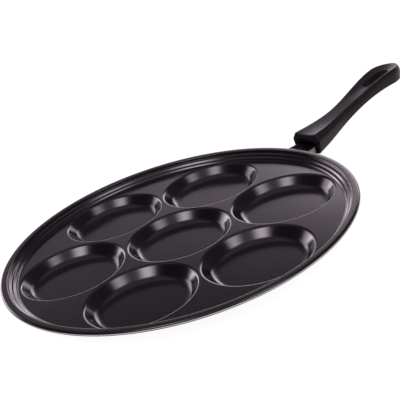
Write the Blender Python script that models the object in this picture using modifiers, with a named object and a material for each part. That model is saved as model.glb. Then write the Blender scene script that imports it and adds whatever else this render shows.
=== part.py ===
"""Pancake pan: a pressed steel sheet with seven round wells, and a resin handle on a welded steel arm.

The table is at z = 0 under the wells, the middle of the pan is at the origin,
and the handle points along +X. Every size is in metres.
"""

import math

import bmesh
import bpy
import numpy as np
from mathutils import Matrix, Vector

# Sheet, plate and wells
SHEET = 0.0008
WELL_DIAMETER = 0.0785
WELL_GAP = 0.0005
WELL_DEPTH = 0.0085
WELL_WALL_RUN = 0.0062
WELL_LIP_SETBACK = 0.0019
WELL_FLOOR_SETBACK = 0.0036
OUTER_WELLS = 6

# Rim, from the edge of the flat plate outwards and up
EDGE_LAND = 0.0002
FOOT_FILLET = 0.0006
LEDGE_RUN = 0.0010
LEDGE_RISE = 0.0021
RIDGE_RUN = 0.0045
RIDGE_RISE = 0.0036
VALLEY_RUN = 0.0021
VALLEY_DROP = 0.0004
BEAD_RADIUS = 0.0015
BEAD_DROP = 0.0008
BEAD_START = math.radians(135)
BEAD_END = math.radians(-120)
RIM_SETBACK = 0.0008

# Steel arm, one U-shaped pressing that is spot-welded under the plate
ARM_SHEET = 0.0019
ARM_WIDTH = 0.0224
ARM_NECK_WIDTH = 0.0198
ARM_END_WIDTH = 0.0162
ARM_FOLD_RADIUS = 0.0025
ARM_TILT = math.radians(11)
TONGUE_LENGTH = 0.0222
ARM_REACH = 0.0128
ARM_BEND_SHARE = 0.4
ARM_WALL_HEIGHT = 0.0074
ARM_INSERT = 0.0240
ARM_END_WALL_HEIGHT = 0.0056

# Resin handle, at its front face, neck, waist, grip, palm and tip
HANDLE_LENGTH = 0.1254
NECK_AT = 0.0188
WAIST_AT = 0.0385
GRIP_AT = 0.0700
PALM_AT = 0.1063
FRONT_WIDTH = 0.0212
NECK_WIDTH = 0.0180
WAIST_WIDTH = 0.0140
GRIP_WIDTH = 0.0168
PALM_WIDTH = 0.0220
FRONT_TOP = 0.0230
NECK_TOP = 0.0229
WAIST_TOP = 0.0246
GRIP_TOP = 0.0304
PALM_TOP = 0.0358
TIP_TOP = 0.0346
FRONT_THICKNESS = 0.0170
NECK_THICKNESS = 0.0140
WAIST_THICKNESS = 0.0119
GRIP_THICKNESS = 0.0100
PALM_THICKNESS = 0.0127
TIP_THICKNESS = 0.0125
FRONT_BULGE = 0.0038
NECK_BULGE = 0.0028
WAIST_BULGE = 0.0018
GRIP_BULGE = 0.0015
PALM_BULGE = 0.0014
FOOT_SHARE = 0.5
FRONT_DROP = 0.0055
SIDE_DROP = 0.0042
FRONT_DISH = 0.0014
WAIST_DISH = 0.0014
PALM_DISH = 0.0036
TIP_SPREAD = 0.0020
TOP_EDGE_SETBACK = 0.0008
SIDE_SETBACK = 0.0016
FOOT_SETBACK = 0.0022
FRONT_EDGE = 0.0010

# Hanging slot through the handle, wider in its upper half
SLOT_AT = 0.0803
SLOT_LENGTH = 0.0305
SLOT_WIDTH = 0.0087
SLOT_STEP = 0.0011
SLOT_STEP_DEPTH = 0.0055

# Mouth of the handle and the pocket for the arm, both with a roof narrower than the arm
MOUTH_MARGIN = 0.0008
MOUTH_ROOF_WIDTH = 0.0136
MOUTH_HEIGHT = 0.0104
MOUTH_DEPTH = 0.0012
POCKET_ROOF_WIDTH = 0.0122
POCKET_HEIGHT = 0.0077
POCKET_END_HEIGHT = 0.0064
POCKET_SPARE = 0.0020

# Screw, washer and nut that hold the handle on the arm
SCREW_AT = 0.0130
SCREW_DIAMETER = 0.0040
SCREW_HEAD_DIAMETER = 0.0076
SCREW_HEAD_HEIGHT = 0.0020
SCREW_SLOT_WIDTH = 0.0011
SCREW_SLOT_DEPTH = 0.0012
SCREW_TAIL = 0.0010
WASHER_DIAMETER = 0.0090
WASHER_THICKNESS = 0.0008
NUT_WIDTH = 0.0070
NUT_HEIGHT = 0.0022
SEAT_WALL = 0.0014

# Clearances
GAP = 0.0003
POCKET_FIT = 0.0003
HOLE_FIT = 0.0004

# Fineness of the facets
RIM_SIDES = 72
WELL_SIDES = 30
BEAD_STEPS = 7
CORNER_STEPS = 2
HANDLE_STEPS = 22
TIP_STEPS = 7
EDGE_STEPS = 3
ROUND_SIDES = 24

# Lengths below this are taken as none
TINY = 1e-6

# Sizes that follow from the ones above
WELL_RADIUS = WELL_DIAMETER / 2
WELL_SPACING = WELL_DIAMETER + WELL_GAP
WELL_RING_RADIUS = WELL_SPACING / (2 * math.sin(math.pi / OUTER_WELLS))
PLATE_TOP = SHEET + WELL_DEPTH
PLATE_RADIUS = WELL_RING_RADIUS + WELL_RADIUS + EDGE_LAND
FOOT_RADIUS = PLATE_RADIUS + FOOT_FILLET
LEDGE_RADIUS = FOOT_RADIUS + LEDGE_RUN
LEDGE_TOP = PLATE_TOP + LEDGE_RISE
RIDGE_RADIUS = LEDGE_RADIUS + RIDGE_RUN
RIDGE_TOP = LEDGE_TOP + RIDGE_RISE
VALLEY_RADIUS = RIDGE_RADIUS + VALLEY_RUN
BEAD_CENTRE_RADIUS = VALLEY_RADIUS + BEAD_RADIUS * (0.5 - math.cos(BEAD_START))
BEAD_CENTRE_Z = RIDGE_TOP - BEAD_DROP
PAN_RADIUS = BEAD_CENTRE_RADIUS + BEAD_RADIUS

ARM_FLOOR = PLATE_TOP - SHEET - GAP - ARM_SHEET
ARM_BEND_X = PAN_RADIUS + ARM_REACH * ARM_BEND_SHARE
HANDLE_X = PAN_RADIUS + ARM_REACH
ARM_END_X = HANDLE_X + ARM_INSERT
TONGUE_X = PLATE_RADIUS - TONGUE_LENGTH
ARM_MOUTH_Z = ARM_FLOOR + (HANDLE_X - ARM_BEND_X) * math.tan(ARM_TILT)


def clear_scene():
    """Remove every object of the opened scene."""
    for thing in list(bpy.data.objects):
        bpy.data.objects.remove(thing, do_unlink=True)


def make_collection(name):
    """A new collection in the scene."""
    collection = bpy.data.collections.new(name)
    bpy.context.scene.collection.children.link(collection)
    return collection


def make_material(name, colour, roughness, metallic=0.0):
    """A plain Principled material."""
    material = bpy.data.materials.new(name)
    material.use_nodes = True
    shader = material.node_tree.nodes["Principled BSDF"]
    shader.inputs["Base Color"].default_value = (*colour, 1.0)
    shader.inputs["Roughness"].default_value = roughness
    shader.inputs["Metallic"].default_value = metallic
    return material


def make_object(name, bm, collection, material=None):
    """An object from a bmesh, shaded smooth with sharp creases."""
    mesh = bpy.data.meshes.new(name)
    bm.to_mesh(mesh)
    bm.free()
    mesh.shade_smooth()
    mesh.set_sharp_from_angle(angle=math.radians(35))
    piece = bpy.data.objects.new(name, mesh)
    collection.objects.link(piece)
    if material:
        mesh.materials.append(material)
    return piece


def make_cutter(name, bm, collection):
    """A hidden cutting body."""
    cutter = make_object(name, bm, collection)
    cutter.hide_render = True
    cutter.display_type = "WIRE"
    return cutter


def cut(piece, cutter):
    """Take the cutter's body out of the piece."""
    modifier = piece.modifiers.new("cut_" + cutter.name, "BOOLEAN")
    modifier.operation = "DIFFERENCE"
    modifier.solver = "EXACT"
    modifier.object = cutter


def softened(corners, steps):
    """Points along a line of (corner, setback) pairs, each corner rounded from its setback."""
    points = []
    for index, (corner, setback) in enumerate(corners):
        if setback == 0:
            points.append(corner)
            continue
        start, end = [
            corner.lerp(near, min(setback / max((near - corner).length, TINY), 0.5 if near_setback else 1.0))
            for near, near_setback in (corners[index - 1], corners[index + 1])
        ]
        for step in range(steps + 1):
            share = step / steps
            points.append(start.lerp(corner, share).lerp(corner.lerp(end, share), share))
    return points


def turn(bm, profile, centre, sides):
    """Turn a line of points about the upright axis through the centre."""
    verts = [bm.verts.new(centre + point) for point in profile]
    edges = [bm.edges.new(pair) for pair in zip(verts, verts[1:])]
    bmesh.ops.spin(
        bm, geom=verts + edges, cent=centre, axis=(0, 0, 1), angle=2 * math.pi, steps=sides, use_merge=True
    )


def well_profile():
    """Half section of one well, from its lip in the plate down to the middle of its floor."""
    floor_radius = WELL_RADIUS - WELL_LIP_SETBACK - WELL_WALL_RUN
    corners = [
        (Vector((WELL_RADIUS, 0, PLATE_TOP)), 0),
        (Vector((WELL_RADIUS - WELL_LIP_SETBACK, 0, PLATE_TOP)), WELL_LIP_SETBACK),
        (Vector((floor_radius, 0, SHEET)), WELL_FLOOR_SETBACK),
        (Vector((0, 0, SHEET)), 0),
    ]
    return softened(corners, CORNER_STEPS)


def rim_profile():
    """Half section of the rim: step, sloping ledge, shallow valley and curled bead."""
    corners = [
        (Vector((PLATE_RADIUS, 0, PLATE_TOP)), 0),
        (Vector((FOOT_RADIUS, 0, PLATE_TOP)), FOOT_FILLET),
        (Vector((LEDGE_RADIUS, 0, LEDGE_TOP)), RIM_SETBACK / 2),
        (Vector((RIDGE_RADIUS, 0, RIDGE_TOP)), RIM_SETBACK),
        (Vector((VALLEY_RADIUS, 0, RIDGE_TOP - VALLEY_DROP)), RIM_SETBACK / 2),
        (bead_point(0), 0),
    ]
    bead = [bead_point(step / BEAD_STEPS) for step in range(1, BEAD_STEPS + 1)]
    return softened(corners, CORNER_STEPS) + bead


def bead_point(share):
    """A point on the curl of the bead, from its start on top to its end below."""
    angle = BEAD_START + (BEAD_END - BEAD_START) * share
    across = BEAD_CENTRE_RADIUS + BEAD_RADIUS * math.cos(angle)
    return Vector((across, 0, BEAD_CENTRE_Z + BEAD_RADIUS * math.sin(angle)))


def well_centres():
    """The middle well and the ring of wells, with the handle's line between two of them."""
    centres = [Vector((0, 0, 0))]
    for index in range(OUTER_WELLS):
        angle = 2 * math.pi * (index + 0.5) / OUTER_WELLS
        centres.append(Vector((WELL_RING_RADIUS * math.cos(angle), WELL_RING_RADIUS * math.sin(angle), 0)))
    return centres


def build_pan_body(collection, material):
    """The pressed sheet: turned wells and rim, joined by the flat plate, then thickened downwards."""
    bm = bmesh.new()
    for centre in well_centres():
        turn(bm, well_profile(), centre, WELL_SIDES)
    turn(bm, rim_profile(), Vector((0, 0, 0)), RIM_SIDES)
    bmesh.ops.remove_doubles(bm, verts=bm.verts, dist=1e-6)
    open_edges = [edge for edge in bm.edges if edge.is_boundary]
    plate_edges = [edge for edge in open_edges if all(abs(v.co.z - PLATE_TOP) < 1e-6 for v in edge.verts)]
    bmesh.ops.triangle_fill(bm, use_beauty=True, edges=plate_edges, normal=(0, 0, 1))
    bmesh.ops.recalc_face_normals(bm, faces=bm.faces)
    floor = min(bm.faces, key=lambda face: face.calc_center_median().length)
    if floor.normal.z < 0:
        bmesh.ops.reverse_faces(bm, faces=bm.faces)
    pan = make_object("pan_body", bm, collection, material)
    shell = pan.modifiers.new("sheet", "SOLIDIFY")
    shell.thickness = SHEET
    shell.offset = -1
    shell.use_even_offset = True
    return pan


def arm_stations():
    """Along the arm: distance out, half width, height of the underside, and height of the wall tops."""
    wall_start = LEDGE_RADIUS + 2 * ARM_SHEET
    under_bead = BEAD_CENTRE_Z - BEAD_RADIUS - GAP
    over_bead = ARM_FLOOR + ARM_WALL_HEIGHT
    rise = math.tan(ARM_TILT)
    end_floor = ARM_MOUTH_Z + ARM_INSERT * rise
    beside_bead = PAN_RADIUS + GAP
    wide = ARM_WIDTH / 2
    return [
        (TONGUE_X, wide, ARM_FLOOR, None),
        (wall_start, wide, ARM_FLOOR, None),
        (wall_start + under_bead - ARM_FLOOR, wide, ARM_FLOOR, under_bead),
        (beside_bead, wide, ARM_FLOOR, under_bead),
        (beside_bead + over_bead - under_bead, wide, ARM_FLOOR, over_bead),
        (ARM_BEND_X, wide, ARM_FLOOR, over_bead),
        (HANDLE_X, ARM_NECK_WIDTH / 2, ARM_MOUTH_Z, ARM_MOUTH_Z + ARM_END_WALL_HEIGHT),
        (ARM_END_X, ARM_END_WIDTH / 2, end_floor, end_floor + ARM_END_WALL_HEIGHT),
    ]


def build_handle_bracket(collection, material):
    """The arm: a flat tongue under the plate, then a U-channel that tapers into the handle."""
    bm = bmesh.new()
    rows = []
    for out, half, floor, top in arm_stations():
        row = [bm.verts.new((out, side * half, floor)) for side in (-1, 1)]
        if top is not None:
            row += [bm.verts.new((out, side * half, top)) for side in (-1, 1)]
        rows.append(row)
    for near, far in zip(rows, rows[1:]):
        bm.faces.new((near[0], near[1], far[1], far[0]))
        for side in (0, 1):
            if len(near) == 4:
                bm.faces.new((near[side], far[side], far[side + 2], near[side + 2]))
            elif len(far) == 4:
                bm.faces.new((near[side], far[side], far[side + 2]))
    bmesh.ops.recalc_face_normals(bm, faces=bm.faces)
    tongue = min(bm.faces, key=lambda face: face.calc_center_median().x)
    if tongue.normal.z > 0:
        bmesh.ops.reverse_faces(bm, faces=bm.faces)
    arm = make_object("handle_bracket", bm, collection, material)
    fold = arm.modifiers.new("fold", "BEVEL")
    fold.width = ARM_FOLD_RADIUS
    fold.segments = 2
    fold.limit_method = "ANGLE"
    fold.angle_limit = math.radians(60)
    shell = arm.modifiers.new("sheet", "SOLIDIFY")
    shell.thickness = ARM_SHEET
    shell.offset = -1
    shell.use_even_offset = True
    return arm


def spline(knots, values):
    """A smooth curve through a few named sizes: a natural cubic spline."""
    at = np.array(knots)
    y = np.array(values)
    step = np.diff(at)
    slope = np.diff(y) / step
    count = len(at)
    matrix = np.eye(count)
    right = np.zeros(count)
    for i in range(1, count - 1):
        matrix[i, i - 1:i + 2] = (step[i - 1], 2 * (step[i - 1] + step[i]), step[i])
        right[i] = 6 * (slope[i] - slope[i - 1])
    bend = np.linalg.solve(matrix, right)

    def value(place):
        i = int(np.clip(np.searchsorted(at, place) - 1, 0, count - 2))
        left = place - at[i]
        return float(
            y[i]
            + left * (slope[i] - step[i] * (2 * bend[i] + bend[i + 1]) / 6)
            + left ** 2 * bend[i] / 2
            + left ** 3 * (bend[i + 1] - bend[i]) / (6 * step[i])
        )

    return value


HANDLE_KNOTS = (0.0, NECK_AT, WAIST_AT, GRIP_AT, PALM_AT, HANDLE_LENGTH)
handle_top = spline(HANDLE_KNOTS, (FRONT_TOP, NECK_TOP, WAIST_TOP, GRIP_TOP, PALM_TOP, TIP_TOP))
handle_thickness = spline(
    HANDLE_KNOTS,
    (FRONT_THICKNESS, NECK_THICKNESS, WAIST_THICKNESS, GRIP_THICKNESS, PALM_THICKNESS, TIP_THICKNESS),
)
handle_width = spline(HANDLE_KNOTS[:5], (FRONT_WIDTH, NECK_WIDTH, WAIST_WIDTH, GRIP_WIDTH, PALM_WIDTH))
handle_bulge = spline(HANDLE_KNOTS[:5], (FRONT_BULGE, NECK_BULGE, WAIST_BULGE, GRIP_BULGE, PALM_BULGE))
handle_drop = spline(HANDLE_KNOTS[:5], (FRONT_DROP, SIDE_DROP, SIDE_DROP, SIDE_DROP, SIDE_DROP))
handle_dish = spline(
    (0.0, GRIP_AT, (SLOT_AT + HANDLE_LENGTH) / 2, HANDLE_LENGTH), (FRONT_DISH, WAIST_DISH, PALM_DISH, 0.0)
)


def handle_corners(along, inset=0.0, close=0.0):
    """Right half of the handle's section, as corners from the top middle to the bottom middle.

    In the tip each corner follows its own outline in plan: close runs from 0 at the palm to 1
    where both sides meet.
    """
    bulge_shares = (0.0, 1.0, FOOT_SHARE)
    ends = (HANDLE_LENGTH - TIP_SPREAD, HANDLE_LENGTH, HANDLE_LENGTH - TIP_SPREAD / 2)
    turn_angle = close * math.pi / 2
    places = []
    for bulge_share, end in zip(bulge_shares, ends):
        out = along if close == 0 else PALM_AT + (end - PALM_AT) * math.sin(turn_angle)
        before_tip = min(out, PALM_AT)
        half = handle_width(before_tip) / 2 + handle_bulge(before_tip) * bulge_share
        places.append((out, max(half * math.cos(turn_angle) - inset, 0.0)))
    (top_out, top_half), (side_out, side_half), (foot_out, foot_half) = places
    top = handle_top(top_out) - inset
    dish = handle_dish(top_out) * math.cos(turn_angle)
    side_z = handle_top(side_out) - handle_drop(min(side_out, PALM_AT))
    foot = handle_top(foot_out) - handle_thickness(foot_out) + inset
    corners = []
    for share in (0.0, 0.45, 0.8):
        corners.append((Vector((top_out, -top_half * share, top - dish * (1 - share ** 2))), 0))
    corners.append((Vector((top_out, -top_half, top)), TOP_EDGE_SETBACK))
    corners.append((Vector((side_out, -side_half, side_z)), SIDE_SETBACK))
    corners.append((Vector((foot_out, -foot_half, foot)), FOOT_SETBACK))
    corners.append((Vector((foot_out, 0, foot)), 0))
    return corners


def handle_ring(corners):
    """A closed ring of points from one half of the section."""
    half = softened(corners, CORNER_STEPS)
    mirrored = [Vector((point.x, -point.y, point.z)) for point in reversed(half[1:-1])]
    shift = Vector((HANDLE_X, 0, 0))
    return [point + shift for point in half + mirrored]


def build_handle(collection, cutters, material):
    """The moulded handle: a loft of barrel-shaped sections, with its slot, pocket and screw hole."""
    rings = []
    for step in range(EDGE_STEPS):
        angle = math.pi / 2 * step / EDGE_STEPS
        along = FRONT_EDGE * (1 - math.cos(angle))
        rings.append(handle_ring(handle_corners(along, inset=FRONT_EDGE * (1 - math.sin(angle)))))
    for step in range(HANDLE_STEPS + 1):
        rings.append(handle_ring(handle_corners(FRONT_EDGE + (PALM_AT - FRONT_EDGE) * step / HANDLE_STEPS)))
    for step in range(1, TIP_STEPS + 1):
        rings.append(handle_ring(handle_corners(PALM_AT, close=step / TIP_STEPS)))
    bm = bmesh.new()
    rows = [[bm.verts.new(point) for point in ring] for ring in rings]
    for near, far in zip(rows, rows[1:]):
        for i in range(len(near)):
            j = (i + 1) % len(near)
            bm.faces.new((near[i], near[j], far[j], far[i]))
    bm.faces.new(rows[0])
    bmesh.ops.remove_doubles(bm, verts=bm.verts, dist=1e-5)
    bmesh.ops.dissolve_degenerate(bm, edges=bm.edges, dist=1e-6)
    bmesh.ops.recalc_face_normals(bm, faces=bm.faces)
    handle = make_object("handle", bm, collection, material)
    for cutter in (
        slot_cutter(cutters, "slot_upper", SLOT_STEP_DEPTH, 0.0),
        slot_cutter(cutters, "slot_lower", HANDLE_LENGTH, SLOT_STEP),
        mouth_cutter(cutters),
        pocket_cutter(cutters),
        screw_cutter(cutters, "screw_hole", SCREW_DIAMETER / 2 + HOLE_FIT, -SEAT_WALL * 4, SEAT_WALL * 4),
        screw_cutter(cutters, "screw_seat", WASHER_DIAMETER / 2 + HOLE_FIT, -HANDLE_LENGTH / 4, -SEAT_WALL),
    ):
        cut(handle, cutter)
    return handle


def slot_cutter(collection, name, depth, inset):
    """An upright slot with round ends, reaching down from above the handle."""
    radius = SLOT_WIDTH / 2 - inset
    floor = handle_top(SLOT_AT + SLOT_LENGTH / 2) - handle_dish(SLOT_AT + SLOT_LENGTH / 2) - depth
    ceiling = PALM_TOP + SLOT_WIDTH
    bm = bmesh.new()
    outline = []
    for end, start in ((SLOT_AT + SLOT_LENGTH - SLOT_WIDTH / 2, -90), (SLOT_AT + SLOT_WIDTH / 2, 90)):
        for step in range(ROUND_SIDES // 2 + 1):
            angle = math.radians(start + 360 * step / ROUND_SIDES)
            x = HANDLE_X + end + radius * math.cos(angle)
            outline.append(bm.verts.new((x, radius * math.sin(angle), floor)))
    base = bm.faces.new(outline)
    lifted = bmesh.ops.extrude_face_region(bm, geom=[base])["geom"]
    lifted_verts = [item for item in lifted if isinstance(item, bmesh.types.BMVert)]
    bmesh.ops.translate(bm, verts=lifted_verts, vec=(0, 0, ceiling - floor))
    bmesh.ops.recalc_face_normals(bm, faces=bm.faces)
    return make_cutter(name, bm, collection)


def mouth_frame():
    """Frame at the handle's mouth, level, with z = 0 on the arm's underside."""
    return Matrix.Translation((HANDLE_X, 0, ARM_MOUTH_Z))


def arm_frame():
    """The same frame, tilted so that x runs along the arm."""
    return mouth_frame() @ Matrix.Rotation(-ARM_TILT, 4, "Y")


def house_prism(name, collection, frame, near, far):
    """A prism between two house-shaped sections, each (x, half width, eaves, roof half width, roof)."""
    bm = bmesh.new()
    rings = []
    for x, half, eaves, roof_half, roof in (near, far):
        right = [(half, -POCKET_FIT), (half, eaves), (roof_half, roof)]
        left = [(-across, up) for across, up in reversed(right)]
        rings.append([bm.verts.new((x, across, up)) for across, up in right + left])
    for i in range(len(rings[0])):
        j = (i + 1) % len(rings[0])
        bm.faces.new((rings[0][i], rings[0][j], rings[1][j], rings[1][i]))
    bm.faces.new(rings[0])
    bm.faces.new(rings[1])
    bmesh.ops.recalc_face_normals(bm, faces=bm.faces)
    bmesh.ops.transform(bm, matrix=frame, verts=bm.verts)
    return make_cutter(name, bm, collection)


def mouth_cutter(collection):
    """The shallow step round the mouth of the pocket."""
    half = ARM_NECK_WIDTH / 2 + POCKET_FIT + MOUTH_MARGIN
    section = (half, ARM_END_WALL_HEIGHT + POCKET_FIT + MOUTH_MARGIN, MOUTH_ROOF_WIDTH / 2, MOUTH_HEIGHT)
    return house_prism("mouth", collection, mouth_frame(), (-half, *section), (MOUTH_DEPTH, *section))


def pocket_cutter(collection):
    """The tapered pocket that the arm slides into."""
    length = ARM_INSERT / math.cos(ARM_TILT)
    taper = (ARM_NECK_WIDTH - ARM_END_WIDTH) / 2 / length
    drop = (POCKET_HEIGHT - POCKET_END_HEIGHT) / length
    half = ARM_NECK_WIDTH / 2 + POCKET_FIT
    roof_half = POCKET_ROOF_WIDTH / 2
    eaves = ARM_END_WALL_HEIGHT + POCKET_FIT
    ends = []
    for x in (-POCKET_SPARE, length + POCKET_SPARE):
        ends.append((x, half - taper * x, eaves, roof_half - taper * x, POCKET_HEIGHT - drop * x))
    return house_prism("pocket", collection, arm_frame(), *ends)


def screw_frame():
    """Frame of the screw, with z along it and z = 0 on the underside of the arm."""
    return arm_frame() @ Matrix.Translation((SCREW_AT, 0, 0))


def add_cylinder(bm, radius, bottom, top, sides=ROUND_SIDES):
    """A capped cylinder along z between two heights."""
    matrix = Matrix.Translation((0, 0, (bottom + top) / 2))
    bmesh.ops.create_cone(
        bm, cap_ends=True, segments=sides, radius1=radius, radius2=radius, depth=top - bottom, matrix=matrix
    )


def screw_cutter(collection, name, radius, bottom, top):
    """A round cutter on the screw's axis."""
    bm = bmesh.new()
    add_cylinder(bm, radius, bottom, top)
    cutter = make_cutter(name, bm, collection)
    cutter.matrix_world = screw_frame()
    return cutter


def turned_on_screw(name, profile, collection, material):
    """A solid turned about the screw's axis from its outer side, top to bottom."""
    bm = bmesh.new()
    verts = [bm.verts.new((radius, 0, height)) for radius, height in profile]
    for pair in zip(verts, verts[1:]):
        bm.edges.new(pair)
    piece = make_object(name, bm, collection, material)
    screw = piece.modifiers.new("turn", "SCREW")
    screw.steps = ROUND_SIDES
    screw.render_steps = ROUND_SIDES
    screw.use_merge_vertices = True
    screw.merge_threshold = 0.00001
    piece.matrix_world = screw_frame()
    return piece


def screw_seat():
    """Height of the washer's upper face on the screw's axis."""
    return -SEAT_WALL - GAP


def build_screw(collection, cutters, material):
    """A pan-head screw that comes up through the handle and the arm into the nut."""
    seat = screw_seat() - WASHER_THICKNESS - GAP
    shank = SCREW_DIAMETER / 2
    head = SCREW_HEAD_DIAMETER / 2
    tail = ARM_SHEET + GAP + NUT_HEIGHT + SCREW_TAIL
    chamfer = shank / 4
    profile = [
        (0, tail),
        (shank - chamfer, tail),
        (shank, tail - chamfer),
        (shank, seat),
        (head, seat),
        (head, seat - SCREW_HEAD_HEIGHT * 0.55),
        (head * 0.86, seat - SCREW_HEAD_HEIGHT * 0.88),
        (head * 0.6, seat - SCREW_HEAD_HEIGHT),
        (0, seat - SCREW_HEAD_HEIGHT),
    ]
    screw = turned_on_screw("handle_screw", profile, collection, material)
    bm = bmesh.new()
    bmesh.ops.create_cube(bm, size=1)
    size = Vector((SCREW_HEAD_DIAMETER * 2, SCREW_SLOT_WIDTH, SCREW_SLOT_DEPTH * 2))
    bmesh.ops.scale(bm, vec=size, verts=bm.verts)
    bmesh.ops.translate(bm, vec=(0, 0, seat - SCREW_HEAD_HEIGHT), verts=bm.verts)
    slot = make_cutter("driver_slot", bm, cutters)
    slot.matrix_world = screw_frame()
    cut(screw, slot)
    return screw


def build_washer(collection, material):
    """A flat washer between the screw's head and the handle."""
    top = screw_seat()
    inner = SCREW_DIAMETER / 2 + HOLE_FIT
    outer = WASHER_DIAMETER / 2
    bottom = top - WASHER_THICKNESS
    profile = [(inner, top), (outer, top), (outer, bottom), (inner, bottom), (inner, top)]
    return turned_on_screw("screw_washer", profile, collection, material)


def build_nut(collection, cutters, material):
    """A square nut, welded on the floor of the arm."""
    bm = bmesh.new()
    bmesh.ops.create_cube(bm, size=1)
    bmesh.ops.scale(bm, vec=(NUT_WIDTH, NUT_WIDTH, NUT_HEIGHT), verts=bm.verts)
    middle = ARM_SHEET + GAP + NUT_HEIGHT / 2
    bmesh.ops.translate(bm, vec=(0, 0, middle), verts=bm.verts)
    nut = make_object("arm_nut", bm, collection, material)
    nut.matrix_world = screw_frame()
    edge = nut.modifiers.new("edge", "BEVEL")
    edge.width = NUT_WIDTH / 20
    edge.segments = 1
    cut(nut, screw_cutter(cutters, "nut_bore", SCREW_DIAMETER / 2 + GAP, 0, NUT_HEIGHT * 3))
    return nut


def build():
    """Make every piece of the pan."""
    clear_scene()
    pieces = make_collection("pancake_pan")
    cutters = make_collection("cutters")
    coating = make_material("nonstick_coating", (0.020, 0.018, 0.020), 0.28)
    steel = make_material("arm_steel", (0.30, 0.30, 0.31), 0.35, 1.0)
    resin = make_material("handle_resin", (0.018, 0.018, 0.018), 0.42)
    zinc = make_material("plated_steel", (0.55, 0.55, 0.56), 0.30, 1.0)
    build_pan_body(pieces, coating)
    arm = build_handle_bracket(pieces, steel)
    cut(arm, screw_cutter(cutters, "arm_hole", SCREW_DIAMETER / 2 + HOLE_FIT, -ARM_SHEET, ARM_SHEET * 2))
    build_handle(pieces, cutters, resin)
    build_screw(pieces, cutters, zinc)
    build_washer(pieces, zinc)
    build_nut(pieces, cutters, zinc)


build()
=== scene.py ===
"""Looks of the pancake pan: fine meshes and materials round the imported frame, with floor, light and camera.

The frame's axes hold here: the pan's middle is the origin, the handle points along +X and
the table is at z = 0. Every size is in metres.
"""

import math

import bmesh
import bpy
import numpy as np
from mathutils import Matrix, Vector


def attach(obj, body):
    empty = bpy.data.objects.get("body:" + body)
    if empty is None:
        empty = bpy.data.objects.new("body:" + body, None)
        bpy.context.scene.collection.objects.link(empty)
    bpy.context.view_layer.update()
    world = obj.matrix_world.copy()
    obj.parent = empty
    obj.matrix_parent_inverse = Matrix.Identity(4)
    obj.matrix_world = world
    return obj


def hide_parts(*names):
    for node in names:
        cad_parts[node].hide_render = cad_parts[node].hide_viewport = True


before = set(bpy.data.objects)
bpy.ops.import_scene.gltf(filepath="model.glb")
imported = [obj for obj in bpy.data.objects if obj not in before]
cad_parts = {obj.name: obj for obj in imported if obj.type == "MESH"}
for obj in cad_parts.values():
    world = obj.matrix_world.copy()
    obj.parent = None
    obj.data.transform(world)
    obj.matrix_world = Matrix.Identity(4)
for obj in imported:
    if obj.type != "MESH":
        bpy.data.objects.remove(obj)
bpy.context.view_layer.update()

# Sheet, plate and wells
SHEET = 0.0008
WELL_DIAMETER = 0.0785
WELL_GAP = 0.0005
WELL_DEPTH = 0.0085
WELL_WALL_RUN = 0.0066
WELL_LIP_SETBACK = 0.0014
WELL_FLOOR_SETBACK = 0.0036
OUTER_WELLS = 6
FLAT_LAND = 0.00006

# Rim: two steps up, a brim that rises a little outwards, and a curled bead
EDGE_LAND = 0.0002
FOOT_FILLET = 0.0006
RISER_RUN = 0.0009
RISER_RISE = 0.0013
LEDGE_RUN = 0.0016
LEDGE_RISE = 0.0008
BRIM_RUN = 0.0005
BRIM_RISE = 0.0022
BRIM_WIDTH = 0.0039
BRIM_LIFT = 0.0001
BEAD_RADIUS = 0.0015
BEAD_START = math.radians(95)
BEAD_END = math.radians(-120)
LEDGE_SETBACK = 0.00022
BRIM_SETBACK = 0.0008

# Coating: how far up a face points, as the z of its normal, where the coating starts and is whole
COAT_FADE_START = 0.08
COAT_FADE_END = 0.2

# Steel: the darkest patches as a share of the colour
STEEL_SHADE = 0.82

# Steel arm: its walls start low under the bead, at a distance from the pan's middle
ARM_SHEET = 0.0019
ARM_WIDTH = 0.0224
ARM_NECK_WIDTH = 0.0198
ARM_END_WIDTH = 0.0162
ARM_FOLD_RADIUS = 0.0025
ARM_TILT = math.radians(11)
TONGUE_LENGTH = 0.0222
ARM_REACH = 0.0128
ARM_BEND_SHARE = 0.4
ARM_WALL_HEIGHT = 0.0074
ARM_WALL_START = 0.12385
ARM_LOW_WALL_TOP = 0.0124
ARM_INSERT = 0.0240
ARM_END_WALL_HEIGHT = 0.0056
ARM_EDGE = 0.0003

# Resin handle: places along it from its mouth, and at each its top's width and height above the table,
# its thickness, how far its sides bulge beyond the top, and how far they drop before the widest line
HANDLE_LENGTH = 0.1254
NECK_AT = 0.0188
WAIST_AT = 0.0385
GRIP_AT = 0.0700
PALM_AT = 0.1063
FRONT_WIDTH = 0.0212
NECK_WIDTH = 0.0180
WAIST_WIDTH = 0.0140
GRIP_WIDTH = 0.0168
PALM_WIDTH = 0.0220
FRONT_TOP = 0.0230
NECK_TOP = 0.0229
WAIST_TOP = 0.0246
GRIP_TOP = 0.0304
PALM_TOP = 0.0358
TIP_TOP = 0.0346
FRONT_THICKNESS = 0.0170
NECK_THICKNESS = 0.0140
WAIST_THICKNESS = 0.0119
GRIP_THICKNESS = 0.0100
PALM_THICKNESS = 0.0127
TIP_THICKNESS = 0.0125
FRONT_BULGE = 0.0038
NECK_BULGE = 0.0028
WAIST_BULGE = 0.0018
GRIP_BULGE = 0.0015
PALM_BULGE = 0.0014
FOOT_SHARE = 0.5
FRONT_DROP = 0.0055
SIDE_DROP = 0.0042
FRONT_DISH = 0.0014
WAIST_DISH = 0.0014
PALM_DISH = 0.0036
TIP_SPREAD = 0.0020
TOP_EDGE_SETBACK = 0.0008
SIDE_SETBACK = 0.0016
FOOT_SETBACK = 0.0022
FRONT_EDGE = 0.0010

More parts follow.
